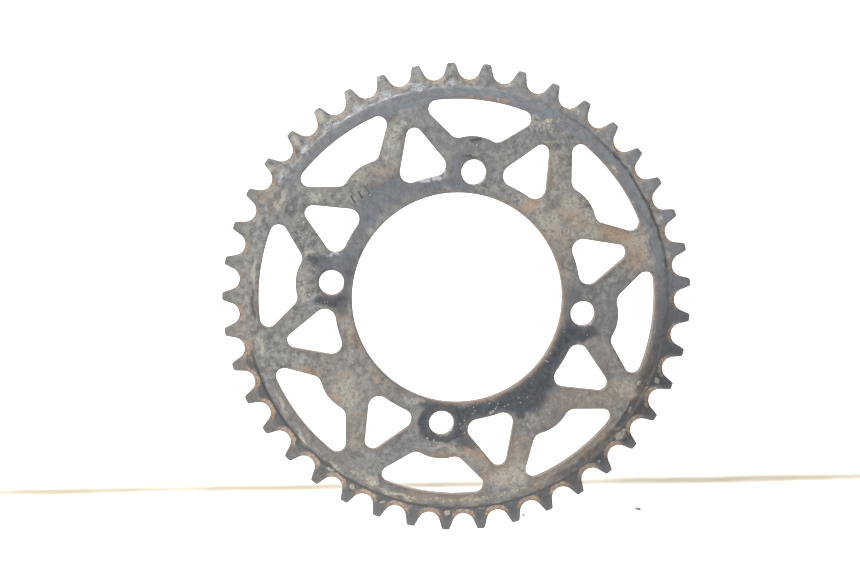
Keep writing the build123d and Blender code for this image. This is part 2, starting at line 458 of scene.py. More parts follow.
# Soft-edged bands: start angle, end angle, inner radius, outer radius, softness across, softness of the ends
UPPER_LEFT_TEETH = (95, 185, 76, 90, 1, 12)
LOW_LEFT_TEETH = (-185, -95, 76, 90, 1.2, 20)
LOW_RIGHT_TEETH = (-68, 2, 75, 90, 1.2, 14)
BOTTOM_TEETH = (-172, -20, 76.5, 90, 0.6, 12)
RIGHT_RIM = (-40, 60, 70, 90, 1, 10)
WIDE_CRESCENTS = (-160, -20, 70, 90, 1, 20)
RUSTIEST_BORE = (-110, 60, 30, 42, 1, 25)
# Bands for the dark line along the step, partly dirt and partly painted shade where the step faces down
STEP_LINE = (-180, 180, 76.2, 77.6, 0.45)
STEP_LINE_LOW, STEP_LINE_RIGHT = (-165, -48, 70, 84, 1, 14), (0, 62, 70, 84, 1, 10)
STEP_LINE_MISSING = (68, 150, 70, 84, 1, 8)
LOW_CREVICE, RIGHT_CREVICE = (-168, -50, 76.5, 77.3, 0.3, 8), (22, 52, 76.4, 77.2, 0.3, 8)

# Soft-edged spots, each x, z, half length, half width, direction, strength
BLACK_PAINT = [  # where the black paint still holds
    (-47, 15, 7.5, 3.2, 0, 0.95), (-40, 12, 3.5, 8, 0, 0.75), (-46, 0.5, 7, 2.5, 0, 0.9),
    (-35, 27, 12, 3.2, 55, 0.75), (-26, 38, 11, 6, 30, 0.8), (-10, 42, 14, 3.5, 5, 0.75),
    (-39, 20, 4, 8, 20, 0.65), (-33, 22, 3.5, 9, 35, 0.6), (-42, 2, 4.5, 9, 0, 0.6),
    (-31, 33, 10, 5, 48, 0.7), (-19, 42, 9, 5, 20, 0.7), (2, 42, 8, 3.5, -5, 0.8), (2, 48, 4, 6, 0, 0.55),
    (13, 46, 4, 7, 0, 0.45), (42, -3, 8, 5, 90, 0.5), (45, -14, 6, 3.6, 0, 1), (38, -18, 12, 4, 60, 1),
    (30, -29, 10, 6, 50, 1.1), (20, -36, 9, 6, 30, 1.0), (26, -38, 8, 4.5, 15, 0.8), (9, -40.5, 9, 3, 8, 1),
    (0, -46, 6.5, 6, 0, 1), (-13, -46, 3, 6, 0, 0.7), (-8, -38.5, 9, 1.8, 0, 0.7), (2, -53, 5, 3, -30, 0.7),
]
RIM_PAINT = [  # bands instead of spots: start angle, end angle, inner radius, outer radius, strength
    (58, 128, 71, 76, 1.0), (118, 148, 71, 76, 0.6), (20, 62, 72, 76.5, 0.75), (-30, 20, 72.5, 76.5, 0.8),
    (-64, -30, 74, 80, 1.0), (-30, 8, 76, 84, 0.7), (-100, -56, 76, 81, 0.9), (40, 84, 76, 80, 0.5),
    (-170, -100, 75.8, 80, 0.6),
]
SHADED = [  # broad smooth darker places
    (35, -45, 9, 4, 30, 0.9), (54, -61, 9, 5, 40, 0.9), (64, -50, 7, 4, 60, 0.6), (42, -68, 9, 4, 30, 0.8),
    (-22, -60, 6, 4, 25, 0.7), (-28, -36, 6, 6, 0, 0.4), (52, -12, 6, 8, 0, 0.5),
    (-50, -56, 7, 5, -40, 0.5), (49, 2, 9, 7, 0, 0.55), (57, -14, 11, 4, 100, 0.6),
    (52, -25, 9, 4, -60, 0.5), (62, -30, 5, 7, 0, 0.4), (8, 56, 15, 5, 0, 0.5), (21, 60, 9, 5, 30, 0.45),
    (35, 59, 9, 5, 0, 0.4), (-5, 60, 14, 4, -50, 0.5), (-25, -54, 12, 5, 28, 0.5), (-14, -49, 7, 5, 0, 0.5),
    (-61, 33, 5, 9, -20, 0.3), (38, -42, 10, 4, 0, 0.35), (24, -42, 8, 6, 0, 0.4),
    (42, -58, 12, 3, 35, 0.4), (60, -42, 5, 8, 45, 0.35), (-15, 64, 6, 5, 0, 0.4),
    (-44, -60, 11, 7, -35, 0.6), (-64, -42, 5, 14, 30, 0.55), (-74, -24, 4, 8, 15, 0.35),
    (-24, -70, 14, 5, -20, 0.65), (0, -75, 16, 6, 0, 0.7), (26, -73, 14, 6, 18, 0.7),
    (46, -62, 12, 8, 38, 0.6), (-12, -56, 9, 4, 0, 0.5), (-20, -38, 7, 5, 0, 0.5), (34, -38, 9, 6, 0, 0.7),
    (22, -48, 5, 8, 0, 0.5), (58, -50, 6, 9, 40, 0.5), (48, -10, 14, 6, 0, 0.8), (58, -6, 6, 10, 0, 0.8),
    (-26, 38, 9, 5, 40, 0.35), (-14, 38, 9, 4, 10, 0.6), (-37, 15, 4, 9, 0, 0.5), (-48, 10, 6, 6, 0, 0.4),
    (-48, 54, 6, 3, 40, 0.5), (5, 45, 9, 7, 0, 0.4), (78, -20, 4, 9, 10, 0.5), (74, -30, 5, 6, 0, 0.5),
]
DARK_BLOTCHES = [  # grime
    (-59, 35, 3.5, 5, -20, 0.5), (-56, 25, 3, 7, -25, 0.5), (-23, 66, 3.2, 4, 30, 0.5),
    (-60, 41, 2, 3, 0, 0.45), (-50, 10, 2.5, 5, 0, 0.35), (-74, 1, 1.2, 8, 5, 0.7),
    (-63, -23, 4, 2.5, 0, 0.5), (-12, -46, 2.3, 5, 10, 1.1), (-7, -39.6, 6, 1.6, 0, 1),
    (-1.5, -43, 1.6, 4, 20, 0.8), (22, -43, 3, 2.5, 20, 0.8), (8, 57.6, 2.4, 0.8, 10, 1.2),
    (6, 50.8, 3.4, 0.7, 5, 0.9), (60, -38, 5, 2, 50, 0.45), (66, -30, 5, 2.2, 60, 0.5),
    (-39, -55, 4, 3, 0, 0.5), (-45, -22, 4, 3, 0, 0.35), (35, 33, 6, 3, 30, 0.5), (-50, 28, 2, 3, 0, 0.3),
    (-35, 63, 2.5, 1.2, 40, 0.3), (40, 26, 5, 3, 0, 0.45), (48, 2, 7, 5, 0, 0.35),
]
BROWNISH = [  # broad weak brown films
    (41, -39, 13, 4, -5, 0.8), (9, -58, 12, 5, -52, 0.8), (20, -57, 4, 10, 5, 0.8),
    (30, -67, 14, 3, 25, 0.7), (40, 27, 17, 11, 0, 0.4), (36, 44, 5, 9, 0, 0.35), (58, 21, 12, 6, -20, 0.6),
    (64, 13, 8, 8, 0, 0.4), (37, 12, 3, 12, 5, 0.35), (-45, -29, 13, 10, 0, 0.4), (-38, -46, 5, 10, 0, 0.5),
    (-40, -10, 4, 12, 15, 0.3), (-30, -30, 12, 4, -40, 0.3), (54, -37, 9, 6, 0, 0.6),
    (52, -48, 9, 3, 50, 0.7), (66, -28, 2, 10, -25, 0.7), (-27, 46, 8, 4, 40, 0.5),
    (-68, 42, 5, 8, 35, 0.5), (-76, 0, 3, 30, 0, 0.2), (-8, -72, 18, 3, 0, 1.0),
    (-40, -61, 16, 3, -40, 0.5), (-60, -42, 3, 14, 35, 0.5), (48, -57, 14, 3, 38, 1.2),
    (69, -30, 2.5, 12, -22, 1.0), (60, -36, 7, 6, 0, 0.9), (20, -63, 10, 6, 0, 0.7),
    (73.5, -5, 2, 16, 3, 0.5), (28, -72, 12, 3, 18, 0.9), (2, -79, 20, 4, 0, 0.6),
    (40, -69, 10, 5, 30, 0.5), (64, -47, 8, 4, 55, 0.6), (53, -22, 4, 12, 25, 0.4),
    (30, -48, 8, 4, 30, 0.5), (22, 30, 10, 3, -45, 0.5), (-6, -57, 8, 3, 0, 0.6),
]
PAINTED_HIGHLIGHTS = [  # painted highlights on lips, where the lamp would catch them
    (-9, 43.2, 5.8, 1.1, 13, 0.95), (-3.4, 45.6, 0.9, 2.4, -30, 0.9), (-44.5, 17.4, 3.8, 0.7, 5, 0.9),
    (-38.6, 21, 0.5, 4, -35, 0.5), (-26, 74.4, 5, 1.4, 20, 0.8), (-13, 77.6, 3.4, 1.2, 8, 0.7),
]
PITTED = [  # scattered dark pits
    (18, -64, 8, 6, 0, 1.0), (8, -74, 22, 2.5, 4, 1.0), (62, -38, 5, 5, 0, 0.6), (2, -57, 9, 3, -45, 0.7),
    (-32, -67, 12, 4, -25, 0.7), (-44, 48, 5, 4, 0, 0.5), (33, 60, 7, 6, 0, 0.6), (52, 30, 10, 8, 0, 0.5),
    (-54, 22, 5, 9, 15, 0.6), (20, -52, 3, 8, 0, 0.7), (32, -67, 10, 3, 25, 0.8),
    (-50, -26, 9, 5, -10, 0.5),
]
RUSTY = [  # rust in blotches and along edges
    (27, 33, 3.2, 2.2, 20, 1.2), (34, 42, 2.5, 4, 0, 0.7), (43, 28, 9, 3, -25, 0.7),
    (58, 22, 8, 3, -20, 0.9), (65, 13, 5, 6, 40, 0.7), (37, 20, 3, 8, 15, 0.6), (38, 10, 2, 7, 0, 0.5),
    (26, 37, 5, 3, 0, 0.5), (-54, -25, 4.5, 1.6, -20, 1.2), (-45, -35, 3.5, 1.4, -50, 0.8),
    (-43, -27, 5, 3, 0, 0.5), (-38, -14, 1.6, 7, 20, 0.7), (-42, -5, 3, 2.5, 0, 0.7),
    (-30, -28, 7, 2, -45, 0.6), (-26, 47, 5, 1.6, 40, 0.45), (-70, 39, 2, 3, 40, 0.6),
    (-68, 47, 3, 2, 0, 0.5), (58, 45, 1.5, 4, 35, 0.5), (56, 62, 2.5, 1.5, -40, 0.9),
    (10, -58, 9, 2.2, -55, 0.7), (16, -57, 1.6, 7, 5, 0.7), (4, -57, 6, 1.4, -20, 0.8),
    (38, -47, 7, 1.3, 35, 0.9), (52, -33, 1.5, 2.5, 30, 0.8), (55, -48, 3, 4, 60, 0.4),
    (46, -42, 8, 1.2, 0, 0.5), (-12, -70.5, 14, 1.4, -5, 0.6), (8, -66, 2, 5, 15, 0.7),
    (30, -68, 12, 1.6, 22, 0.5), (24, -54, 4, 4, 0, 0.5), (-78, -4, 1.4, 9, 0, 0.6),
    (-79, 9, 1.3, 4, 0, 0.5), (-76, -16, 1.3, 5, 15, 0.8), (-75, 22, 1.2, 4, -20, 0.6),
    (-40, -45, 2.6, 7, 0, 0.45), (-12, -57.5, 6, 1, 5, 0.8), (-70, 12, 1, 8, 0, 0.5),
    (12, 71.9, 14, 0.6, -5, 1.1), (62, 35, 1.2, 8, 28, 0.8), (70, -8, 0.9, 10, 3, 0.8),
    (66, -22, 1, 7, -20, 0.8),
]
PALE = [  # pale dried film and bare bright metal
    (28, 34, 5, 4, 20, 0.9), (34, 26, 7, 4, -40, 0.8), (42, 32, 6, 5, 0, 0.75), (50, 28, 6, 3, -20, 0.7),
    (32, 62, 6, 3, -15, 0.7), (64, 18, 7, 5, 0, 0.8), (35, 48, 3.5, 7, 0, 0.6), (-22, 60, 3.5, 7, -8, 0.7),
    (-34, 47, 8, 3.4, 25, 0.6), (-57, 8, 3, 8, 8, 0.6), (-60, -26, 6, 4, -30, 0.7),
    (-42, -34, 6, 8, 0, 0.7), (46, 25, 12, 8, -20, 0.6), (38, 30, 7, 14, 0, 0.55), (38, -38, 14, 3, 0, 0.4),
    (61, -36, 5, 5, 0, 0.7), (17, -64, 7, 5, 0, 0.7), (50, 15, 10, 4, 0, 0.4), (-38, -5, 3, 9, 10, 0.5),
    (-73, 12, 0.8, 6, -6, 1.2), (-74.5, 3, 0.7, 4, 0, 1.1), (-61, 39, 0.9, 5, -25, 1.1),
    (-64, 35, 1.2, 2.5, 0, 0.8), (-71.5, -15, 1.0, 4.5, 8, 1.0), (-65, -36, 0.7, 4.5, 28, 1.1),
    (-64, -38, 0.5, 3, 40, 1.0), (-58, -49, 0.9, 4, 35, 1.1), (-55, -54, 2.4, 0.6, -40, 1.0),
    (-46, -62, 2.5, 1.2, -35, 0.9), (-33, -65, 4, 1.4, -35, 0.9), (-38, -62, 5, 2.5, -30, 0.6),
    (-50, 38, 3, 2, 0, 0.7), (-53, 16, 2, 4, 10, 0.8), (-56, 5, 3, 6, 5, 0.6), (-36, 45, 5, 2.6, 40, 0.7),
    (-33, 39, 2, 2, 0, 0.4), (-23, 70, 5, 1, 15, 1.0), (-22, 62, 2, 4, -10, 0.7),
    (-25, 53, 1.6, 4, -10, 0.6), (-18, 64, 1.5, 1.2, 0, 0.9), (-20, 57, 1.2, 3, 0, 0.6),
    (-49, 67, 2.6, 2.4, 0, 1.0), (-38.5, 73.5, 2.2, 2.6, 30, 1.0), (-57, 58.5, 2.4, 1.8, -30, 0.9),
    (-27, 80, 1.3, 2.6, 20, 0.8), (-66, 49, 2.4, 1.6, -20, 0.8), (-58.5, 45.5, 2, 1.4, 30, 0.7),
    (-43, -27, 6, 4, 0, 0.45), (-40, -20, 5, 6, 20, 0.35), (-57, -21, 6, 2.5, -15, 0.45),
    (-47, -8, 1.5, 2, 0, 0.3), (-38, -40, 2.5, 7, 0, 0.35), (-30, -59, 6, 3, 35, 0.35),
    (-16, -37, 5, 1.5, -20, 0.7), (-68, -20, 4, 5, 0, 0.35), (30, 64, 3.5, 2, 0, 0.7),
    (31, 67, 1.2, 3, 30, 0.5), (35, 45, 3, 9, 0, 0.45), (33, 22, 5, 5, 0, 0.5), (24, 35, 4, 3, -30, 0.6),
    (39, 36, 5, 5, 0, 0.4), (46, 32, 5, 3, 40, 0.4), (64, 22, 4, 3, 0, 0.6), (68, 15, 4, 4, 0, 0.6),
    (57, 23, 4, 2, 0, 0.5), (20, -65, 7, 5, 0, 0.8), (14, -66, 5, 4, 0, 0.8), (8, -58, 6, 2.4, -50, 0.5),
    (20, -57, 2, 6, 5, 0.5), (58, -34, 5, 4, 30, 0.55), (50, -37, 9, 2.4, 0, 0.35),
    (63, -38, 3, 2.2, 40, 0.6), (25, -47, 4, 3, 10, 0.45), (0, -55, 6, 1.6, 0, 0.5),
    (52, -15, 2, 4, 10, 0.3), (-6, -54.5, 7, 1.2, 0, 0.7), (44, 60, 3, 2, -30, 0.35),
    (35, 56, 4, 0.5, 0, 0.8), (8, 39.6, 6, 0.5, -10, 0.7), (12, 48, 0.7, 4, 10, 0.7),
    (9, 42.2, 3, 0.6, 30, 0.8), (-3, 75.5, 9, 0.8, 5, 0.4),
]
DUST = [  # crumbly pale dirt
    (34.8, 63, 1.6, 0.9, 0, 1.3), (38.2, 63, 0.8, 0.8, 0, 1.2), (57.6, 45.8, 1.1, 1.5, 30, 1.3),
    (58.5, 43.5, 0.7, 1.1, 20, 1), (64.7, 33.4, 0.7, 0.8, 0, 1.1), (16.4, 71.6, 0.7, 0.6, 0, 1.2),
    (62.3, -42.8, 1.8, 1.5, 20, 0.75), (65.6, -33, 1.4, 1.2, 0, 0.7), (24.7, -48.3, 1.4, 1.3, 0, 0.75),
    (10.8, -41.7, 1.3, 0.9, 20, 1.0), (36, -67, 3, 1.2, 30, 0.7), (2, -73.6, 13, 1.6, 2, 0.75),
    (18, -71.5, 8, 1.6, 16, 0.7), (-10, -73.6, 6, 1, -6, 0.9), (-20, -72, 5, 1.1, -14, 0.9),
    (-33, -66, 4, 1.2, -30, 0.9), (-57, -51, 1, 4, 35, 0.9), (-46, -60, 6, 0.9, -42, 0.8),
    (-26, -70.5, 8, 1, -20, 0.8), (-52, -58.5, 2, 0.8, -45, 0.7), (30, -68, 7, 1.4, 22, 0.6),
    (6.8, -82, 0.5, 0.5, 0, 1.1), (-19.5, -75.5, 1.3, 0.8, 20, 0.9), (-79, -10.6, 2, 0.6, 0, 0.9),
    (-66.5, 48.5, 1, 1, 0, 0.9), (-43, 65, 2, 1, 35, 0.6), (45, 66, 1.0, 1.6, 10, 0.9),
    (69, 16, 4, 2.5, 10, 0.5), (43.5, 26.5, 2, 1.4, 20, 0.7), (28, 33, 1.5, 1.3, 0, 0.8),
    (7.5, 56.8, 1.4, 0.7, 20, 0.8), (-70.5, 39, 1.2, 1.4, 40, 0.6), (69.5, -36.5, 1, 2.5, -20, 0.5),
]
SPECKS = [  # scattered pale dots
    (33, -22, 5, 2.2, 55, 1), (46, -16.5, 3.5, 2, 0, 1), (38, -14, 1.5, 2.5, 0, 0.9),
    (28, -30, 4, 2, 40, 0.8), (21, -38, 6, 2.5, 25, 0.8), (9, -40, 8, 2.2, 5, 0.9),
    (1, -47, 3, 3.5, 0, 0.8), (-10, -52, 5, 2, -15, 1), (7, 56, 2.2, 1.6, 0, 1), (-55, 26, 4, 6, 10, 0.7),
    (-50, 1, 6, 2, 0, 0.8), (-14, 44, 6, 2, 10, 0.7), (-60, -15, 12, 10, 0, 0.5), (76, 12, 2, 5, 0, 0.6),
    (52, -61, 5, 2, 30, 0.8), (45, -55, 6, 1.5, 35, 0.7), (30, -43, 6, 4, 20, 0.6), (70, -34, 3, 4, 0, 0.7),
    (70, 13, 3, 4, 0, 0.5), (45, 60, 4, 3, 0, 0.5),
]


def spots(points, marks):
    """The strongest of some soft-edged spots at each point."""
    found = np.zeros(len(points))
    for x, z, long, wide, direction, strength in marks:
        out = spot_distance(points, x, z, long, wide, direction)
        found = np.maximum(found, strength * smooth(out, 1.45, 0.45))
    return found


def band(points, start, end, inner, outer, soft=0.8, ends=4.0):
    """A soft-edged band between two radii and two angles."""
    radius = abs(points)
    middle = (start + end) / 2
    off_middle = abs((np.degrees(np.angle(points)) - middle + 180) % 360 - 180)
    within = smooth(radius, inner - soft, inner + soft) * smooth(radius, outer + soft, outer - soft)
    return within * smooth(off_middle, (end - start) / 2 + ends, (end - start) / 2 - ends)


def gap_crescents(points, shaken):
    """The brown bevels round the tooth gaps, wider along the bottom."""
    limit = BEVEL_FACE_R + (0.15 + 0.3 * band(points, *WIDE_CRESCENTS))
    from_axis = from_gap_axis(shaken * 0.12 + points * 0.88)
    return smooth(from_axis, limit, limit - 0.5) * smooth(abs(points), 81.6, 79.4)


def step_dirt_and_shade(points, shaken):
    """The dark line along the step in the rim, partly dirt and partly painted shade where the step faces
    down, strongest low down and missing at the top.
    """
    low, right = band(points, *STEP_LINE_LOW), band(points, *STEP_LINE_RIGHT)
    line = band(shaken * (points / shaken) ** 0.6, *STEP_LINE)
    return line * (0.25 + 0.75 * np.maximum(low, 0.6 * right)) * (1 - band(points, *STEP_LINE_MISSING))


def bolt_marks(points, shaken):
    """The dark rings that bolt heads leave, and a painted highlight on the lamp side of each bolt hole's lip.
    """
    dark, light = np.zeros(len(points)), np.zeros(len(points))
    for centre, (width, strength) in zip(bolt_centres(), BOLT_RINGS):
        ring = abs(shaken - centre) - BOLT_HOLE_R
        dark = np.maximum(dark, strength * smooth(ring, width + 0.8, width - 0.6))
        lip = smooth(abs(points - centre), BOLT_HOLE_R + 0.75, BOLT_HOLE_R + 0.3)
        lit_side = smooth(((points - centre) * turn(70)).real / BOLT_HOLE_R, 0.2, 0.9)
        light = np.maximum(light, 0.6 * lip * lit_side)
    return dark, light


def wear_and_painted_light(points, edge_distance, strokes, lumps):
    """Masks for a face, by name, from its places, its pressed strokes and its lumps of dirt: wear and dirt,
    and painted light and shade.
    """
    radius = abs(points)
    shake = wander(points, 4.0, 1) + 1j * wander(points, 4.0, 2)
    shaken = points + 1.3 * shake

    # Parts of the face: the teeth and their tips, stretches of the rim, and how far to one side a place is
    teeth, tips = smooth(radius, 77.5, 80.0), smooth(radius, 80.5, 83)
    upper_left, bottom = band(points, *UPPER_LEFT_TEETH), band(points, *BOTTOM_TEETH)
    low_left, low_right = band(points, *LOW_LEFT_TEETH), band(points, *LOW_RIGHT_TEETH)
    toward_low_right = smooth((points * turn(40)).real, -40, 75)
    toward_bottom = smooth(points.imag, 10, -60)
    facing_upper_right = np.cos(np.angle(points) - math.radians(60))

    paint = spots(shaken, BLACK_PAINT)
    for start, end, inner, outer, strength in RIM_PAINT:
        paint = np.maximum(paint, strength * band(shaken, start, end, inner, outer))
    tooth_paint = teeth * (0.25 + 0.45 * toward_low_right) * (1 - upper_left)
    tooth_shade = teeth * (0.25 + 0.35 * toward_low_right + 0.4 * toward_bottom) * (1 - upper_left)

    crescent = gap_crescents(points, shaken)
    window_rust = 0.55 * smooth(edge_distance, 0.9, 0.15) * (radius < WINDOW_RUST_R)
    bore_rust = 0.25 + 0.75 * band(points, *RUSTIEST_BORE)
    bore_rust *= smooth(radius, BORE_R + 1.2, BORE_R + 0.4)

    bolt_dirt, painted_lip_highlight = bolt_marks(points, shaken)
    # the teeth made darker along the bottom, and the pressed strokes made darker
    stroke_darkening, bottom_teeth_darkening = strokes / STAMP_DEPTH * 0.9, bottom * 0.45 * (1 - crescent)
    dirt_and_shade = [spots(shaken, DARK_BLOTCHES), step_dirt_and_shade(points, shaken), bottom_teeth_darkening, bolt_dirt, stroke_darkening]

    # Painted sheen: the paint is made lighter toward the upper left and on the rim, as a reflection of the
    # lamp
    painted_inner_sheen = smooth((points * turn(-112)).real, 14, 34) * smooth(radius, 58, 46)
    painted_rim_sheen = 0.7 * smooth((points * turn(-78)).real, -20, 40) * smooth(radius, 60, 70)
    between_gaps = smooth(from_gap_axis(points), 4.7, 6.6)
    # painted glints: light flecks at the tooth bases in the upper left, where the lamp would glint on the
    # paint
    painted_glints = (0.35 + 0.45 * between_gaps) * band(shaken, 84, 150, 76.6, 78.6 + between_gaps, 0.6, 8)
    # Painted light and shade on the rim: lighter where the teeth face the upper right and on the lower left,
    # darker on the lower right
    painted_rim_light_and_shade = 0.14 * teeth * facing_upper_right + 0.12 * low_left - 0.22 * low_right
    return {
        "paint": np.maximum(paint, tooth_paint),
        "rust": np.maximum.reduce([spots(shaken, RUSTY), window_rust, bore_rust]),
        "crescent": crescent * (0.72 + 0.28 * np.maximum(bottom, band(points, *RIGHT_RIM))),
        "grime_and_shade": np.maximum.reduce(dirt_and_shade),
        "pale": spots(shaken, PALE),
        "dust": np.maximum(spots(points + 0.8 * shake, DUST), smooth(lumps, 0.05, 0.2)),
        "speck": spots(shaken, SPECKS),
        "shade": np.maximum(spots(shaken, SHADED), 0.45 * tips * upper_left + tooth_shade),
        "painted_sheen": painted_rim_sheen + 0.55 * painted_inner_sheen,
        "brown": np.maximum(spots(shaken, BROWNISH), 0.35 * low_left),
        "painted_gleam": np.maximum.reduce([spots(shaken, PAINTED_HIGHLIGHTS), painted_lip_highlight, painted_glints]),
        "pitted": spots(shaken, PITTED),
        # a darker line in the step low down and on the right: partly dirt, partly painted shade
        "step_crevice_dirt_and_shade": band(points, *LOW_CREVICE) + 0.35 * band(points, *RIGHT_CREVICE),
        # painted light: the whole face lighter toward the top and darker toward the bottom
        "painted_light_tone": 1 + 0.14 * points.imag / TIP_R + painted_rim_light_and_shade,
        # darker near the cut edges: partly grime, partly painted shade of the rounded edges
        "edge": np.maximum(0.45 * smooth(edge_distance, 2.6, 0.2), smooth(edge_distance, 0.9, 0.0)),
        # painted light: the paint lighter in a band just inside each cut edge, as on a rounded edge
        "painted_edge_light": smooth(edge_distance, 2.4, 0.3) * smooth(edge_distance, 0.1, 0.6),
    }


# ---- the plate: both faces over the same points, joined by rows of walls along the outlines ----

loops = outlines()
points, gauge = face_points(loops)
triangles = triangulate(points, loops)
edge_count = sum(len(loop) for loop in loops)
face_count = len(points)
edge_distance = gauge.distance(points)
edge_distance[:edge_count] = 0
level = metal_level(points, edge_distance)
strokes, lumps, nothing = stamped(points), caked(points), np.zeros(face_count)
front_level = np.minimum(level - worn_away(points, 5) - strokes + lumps, BODY_HALF - 0.01)
back_level = level - worn_away(points, 8)
front_masks = wear_and_painted_light(points, edge_distance, strokes, lumps)
back_masks = wear_and_painted_light(-np.conj(points) * turn(BACK_TURN), edge_distance, nothing, nothing)


def row_index(row, i):
    """The mesh's own number for an outline point on one of the wall's rows."""
    if row == 0:
        return i
    if row == WALL_ROWS:
        return face_count + i
    return 2 * face_count + (row - 1) * edge_count + i


def down_the_wall(front, back):
    """Values for the rows between the faces, from those at the front and back edges."""
    shares = [row / WALL_ROWS for row in range(1, WALL_ROWS)]
    return [front[:edge_count] * (1 - share) + back[:edge_count] * share for share in shares]


def plate_mesh():
    """The worn plate as one closed mesh, with its masks as attributes."""
    edge = points[:edge_count]
    verts = [np.stack([points.real, y, points.imag], 1) for y in (-front_level, back_level)]
    verts += [np.stack([edge.real, y, edge.imag], 1) for y in down_the_wall(-front_level, back_level)]
    both_faces = np.concatenate([triangles, triangles[:, ::-1] + face_count])
    faces = [tuple(corners) for corners in both_faces.tolist()]
    first = 0
    for loop in loops:
        i = first + np.arange(len(loop))
        j = first + (np.arange(len(loop)) + 1) % len(loop)
        for row in range(WALL_ROWS):
            quad = [row_index(row, i), row_index(row + 1, i), row_index(row + 1, j), row_index(row, j)]
            faces += [tuple(q) for q in np.stack(quad, 1).tolist()]
        first += len(loop)
    mesh = bpy.data.meshes.new("worn_plate")
    mesh.from_pydata((np.concatenate(verts) * MM).tolist(), [], faces)
    mesh.validate()
    for name, front in front_masks.items():
        back = back_masks[name]
        add_mask(mesh, name, np.concatenate([front, back] + down_the_wall(front, back)))
    wall = np.concatenate([np.zeros(2 * face_count), np.ones((WALL_ROWS - 1) * edge_count)])
    wall[:edge_count] = wall[face_count : face_count + edge_count] = 0.6
    add_mask(mesh, "wall", wall)
    mesh.polygons.foreach_set("use_smooth", np.ones(len(mesh.polygons), bool))
    mesh.set_sharp_from_angle(angle=math.radians(SHARP_ANGLE))
    return mesh


def add_mask(mesh, name, values):
    """Stores a value for every point of the mesh, for the material to read."""
    attribute = mesh.attributes.new(name, "FLOAT", "POINT")
    attribute.data.foreach_set("value", values.astype(np.float32))


# ---- materials ----


class Surface:
    """A material being built up layer by layer, with short ways to add the nodes that it uses."""

    def __init__(self, name):
        self.material = bpy.data.materials.new(name)
        self.material.use_nodes = True
        self.tree = self.material.node_tree
        self.shader = self.tree.nodes["Principled BSDF"]
        self.place = self.add("ShaderNodeTexCoord").outputs["Object"]
        self.colour = None

    def add(self, kind, inputs=None, **settings):
        """A new node with its settings, its inputs fed by plain values or by other nodes."""
        node = self.tree.nodes.new(kind)
        for key, value in settings.items():
            setattr(node, key, value)
        for key, value in (inputs or {}).items():
            self.put(node.inputs[key], value)
        return node

    def put(self, socket, value):
        """Feeds a socket from another node's socket, or sets its value."""
        if isinstance(value, bpy.types.NodeSocket):
            self.tree.links.new(value, socket)
        else:
            socket.default_value = value

    def feed(self, name, value):
        """Feeds one of the shader's own sockets."""
        self.put(self.shader.inputs[name], value)

    def mask(self, name):
        """One of the values stored on the mesh's points."""
        return self.add("ShaderNodeAttribute", attribute_name=name).outputs["Fac"]

    def math(self, operation, a, b=0.0, c=0.0, clamp=False):
        """A calculation with up to three values."""
        inputs = {0: a, 1: b, 2: c}
        return self.add("ShaderNodeMath", inputs, operation=operation, use_clamp=clamp).outputs[0]

    def times(self, a, b):
        return self.math("MULTIPLY", a, b)

    def mean(self, a, b):
        return self.times(self.math("ADD", a, b), 0.5)

    def vector(self, operation, inputs, output=0):
        """A calculation with vectors."""
        return self.add("ShaderNodeVectorMath", inputs, operation=operation).outputs[output]

    def ramp(self, value, low, high, to_low=0.0, to_high=1.0):
        """A soft ramp of a value."""
        inputs = {"Value": value, "From Min": low, "From Max": high, "To Min": to_low, "To Max": to_high}
        return self.add("ShaderNodeMapRange", inputs, interpolation_type="SMOOTHSTEP").outputs[0]

    def noise(self, size, detail=3, rough=0.5, shift=0.0):
        """Noise from about 0 to 1 with lumps of that size in millimetres."""
        moved = self.add("ShaderNodeMapping", {"Vector": self.place, "Location": (shift, shift, -shift)})
        inputs = {"Vector": moved.outputs[0], "Scale": 1000 / size, "Detail": detail, "Roughness": rough}
        return self.add("ShaderNodeTexNoise", inputs).outputs[0]

    def streaks(self, long, wide):
        """Noise drawn out round the wheel axis, and how far a place counts as the rim."""
        flat = self.vector("MULTIPLY", {0: self.place, 1: (1, 0, 1)})
        radius = self.vector("LENGTH", {0: flat}, "Value")
        heading = self.vector("NORMALIZE", {0: flat})
        heading = self.vector("SCALE", {0: heading, "Scale": STREAKED_R / long})
        outward = self.add("ShaderNodeCombineXYZ", {"Y": self.times(radius, 1000 / wide)}).outputs[0]
        drawn_out = self.vector("ADD", {0: heading, 1: outward})
        inputs = {"Vector": drawn_out, "Scale": 1.0, "Detail": 4, "Roughness": 0.65}
        on_rim = self.ramp(radius, STREAKS_START_R * MM, STREAKS_FULL_R * MM)
        return self.add("ShaderNodeTexNoise", inputs).outputs[0], on_rim

    def broken(self, name, grain, low, high, amount):
        """A mask whose edge is broken up by a noise."""
        rough = self.math("SUBTRACT", grain, 0.5)
        return self.ramp(self.math("MULTIPLY_ADD", rough, amount, self.mask(name)), low, high)

    def blend(self, share, below, above):
        """A mix of two colours, each from a node or as a display colour from 0 to 255."""
        node = self.add("ShaderNodeMix", data_type="RGBA")
        self.put(node.inputs[0], share)
        for socket, value in ((node.inputs[6], below), (node.inputs[7], above)):
            self.put(socket, tint(*value) if isinstance(value, tuple) else value)
        return node.outputs[2]

    def lay(self, share, colour, most=1.0):
        """Lays a colour over those before it, by a share from nothing up to the most."""
        self.colour = self.blend(self.times(share, most), self.colour, colour)


def linear(level):
    """A display level from 0 to 255 as linear light."""
    share = level / 255
    return share / 12.92 if level <= 10.31 else ((share + 0.055) / 1.055) ** 2.4


def tint(red, green, blue):
    """A display colour from 0 to 255 as linear light."""
    return (linear(red), linear(green), linear(blue), 1.0)


